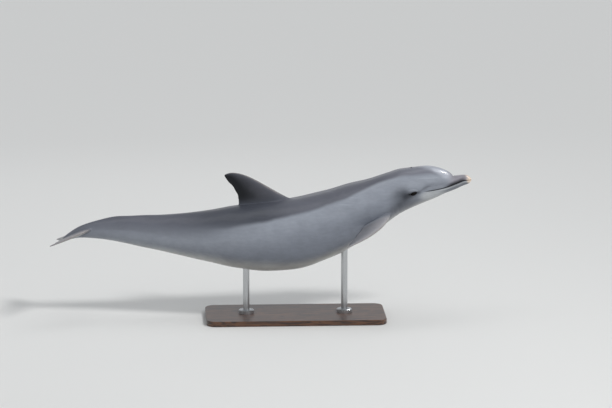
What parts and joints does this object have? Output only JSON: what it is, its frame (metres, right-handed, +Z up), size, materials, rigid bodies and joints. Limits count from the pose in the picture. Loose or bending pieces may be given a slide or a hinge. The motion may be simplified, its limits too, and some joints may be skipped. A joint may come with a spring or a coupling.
{
  "type": "bottlenose dolphin model",
  "caption": "Life-size still display model of a bottlenose dolphin in a swimming pose, held over a flat wooden base by upright steel rods.",
  "frame": {"origin": "centre of the underside of the stand's base", "axes": "+X towards the snout, +Y towards the animal's left, +Z up"},
  "size_m": [2.4779, 0.7438, 0.9077],
  "materials": {
    "skin": "smooth wet skin, satin to glossy, dark grey back, mid grey flanks and pale belly",
    "eye": "wet, glossy, dark brown",
    "base_wood": "dark stained walnut, satin lacquer",
    "rod_steel": "brushed stainless steel"
  },
  "bodies": {
    "root": {"head": "skin", "upper_jaw": "skin", "lower_jaw": "skin", "eye_left": "eye", "eye_right": "eye", "trunk_front": "skin", "trunk_rear": "skin", "tail_stock": "skin", "dorsal_fin": "skin", "flipper_left": "skin", "flipper_right": "skin", "fluke_left": "skin", "fluke_right": "skin", "stand_base": "base_wood", "stand_collar_front": "rod_steel", "stand_collar_rear": "rod_steel", "stand_rod_front": "rod_steel", "stand_rod_rear": "rod_steel"}
  },
  "joints": []
}
